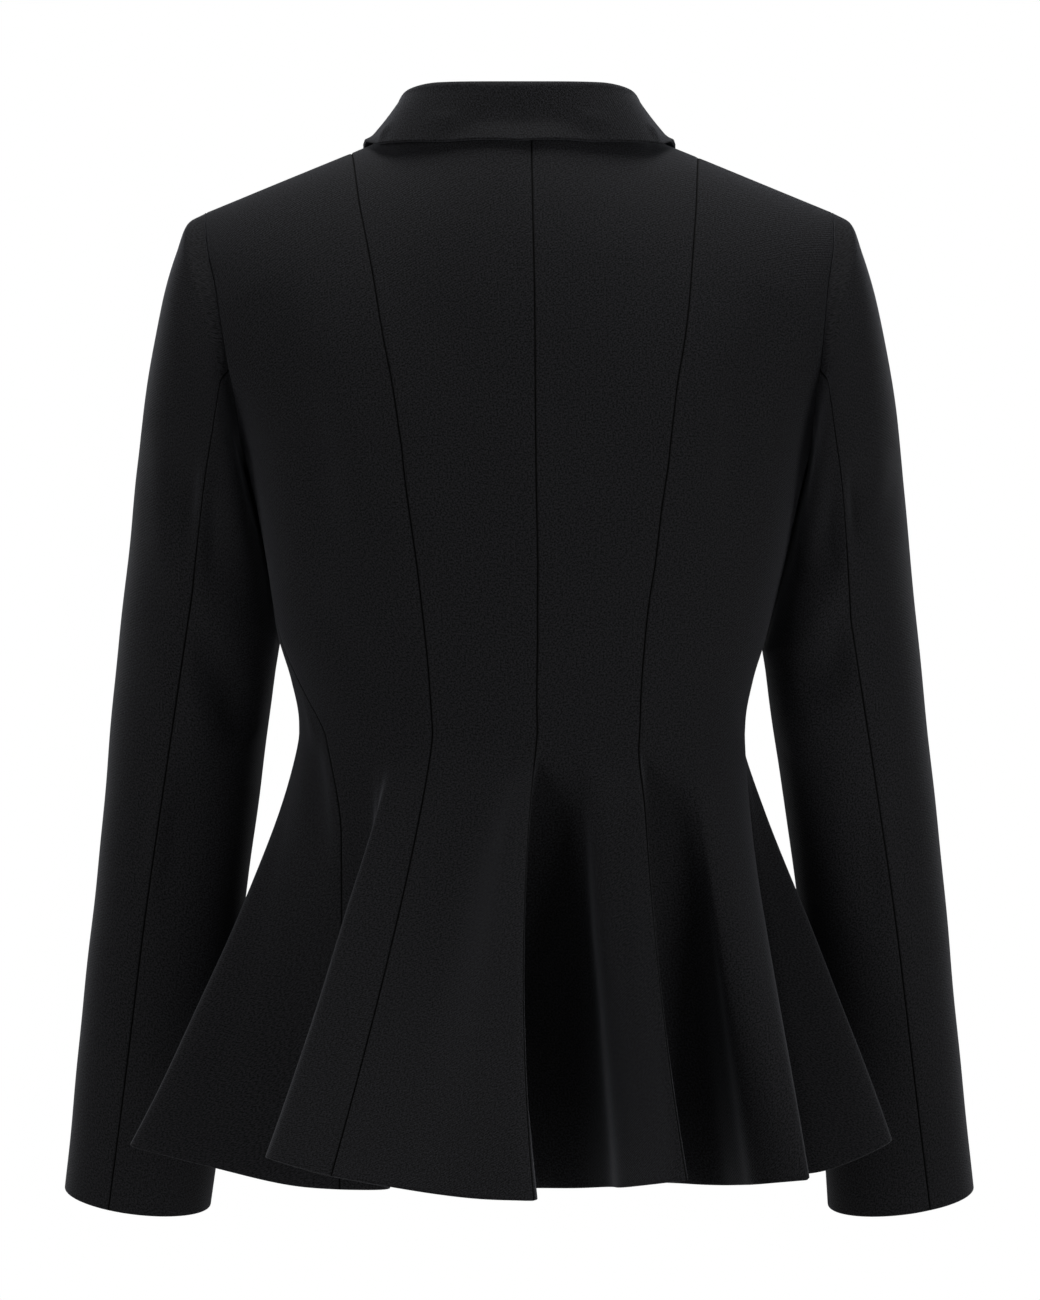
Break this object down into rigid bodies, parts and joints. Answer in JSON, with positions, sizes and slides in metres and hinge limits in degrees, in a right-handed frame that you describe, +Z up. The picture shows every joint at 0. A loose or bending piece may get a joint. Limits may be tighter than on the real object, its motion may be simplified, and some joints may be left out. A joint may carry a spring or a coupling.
{
  "type": "women's tailored jacket, filled out with no wearer",
  "caption": "Fitted long-sleeved jacket with a fold-over notched collar, princess seams, one front button and a flared hem in deep folds.",
  "frame": {"origin": "midway between the two shoulder seams at the height of the neck points, where the wearer's shoulders hold the jacket", "axes": "+Z up along the back, -Y the way the front faces, +X to the wearer's left"},
  "size_m": [0.5726, 0.4304, 0.7027],
  "materials": {
    "wool_cloth": "matte fine wool twill",
    "button_horn": "satin"
  },
  "bodies": {
    "root": {"back_left": "wool_cloth", "side_back_left": "wool_cloth", "side_front_left": "wool_cloth", "front_left": "wool_cloth", "back_right": "wool_cloth", "side_back_right": "wool_cloth", "side_front_right": "wool_cloth", "front_right": "wool_cloth", "upper_sleeve_left": "wool_cloth", "under_sleeve_left": "wool_cloth", "upper_sleeve_right": "wool_cloth", "under_sleeve_right": "wool_cloth", "lapel_left": "wool_cloth", "lapel_right": "wool_cloth", "collar": "wool_cloth", "button": "button_horn"}
  },
  "joints": []
}
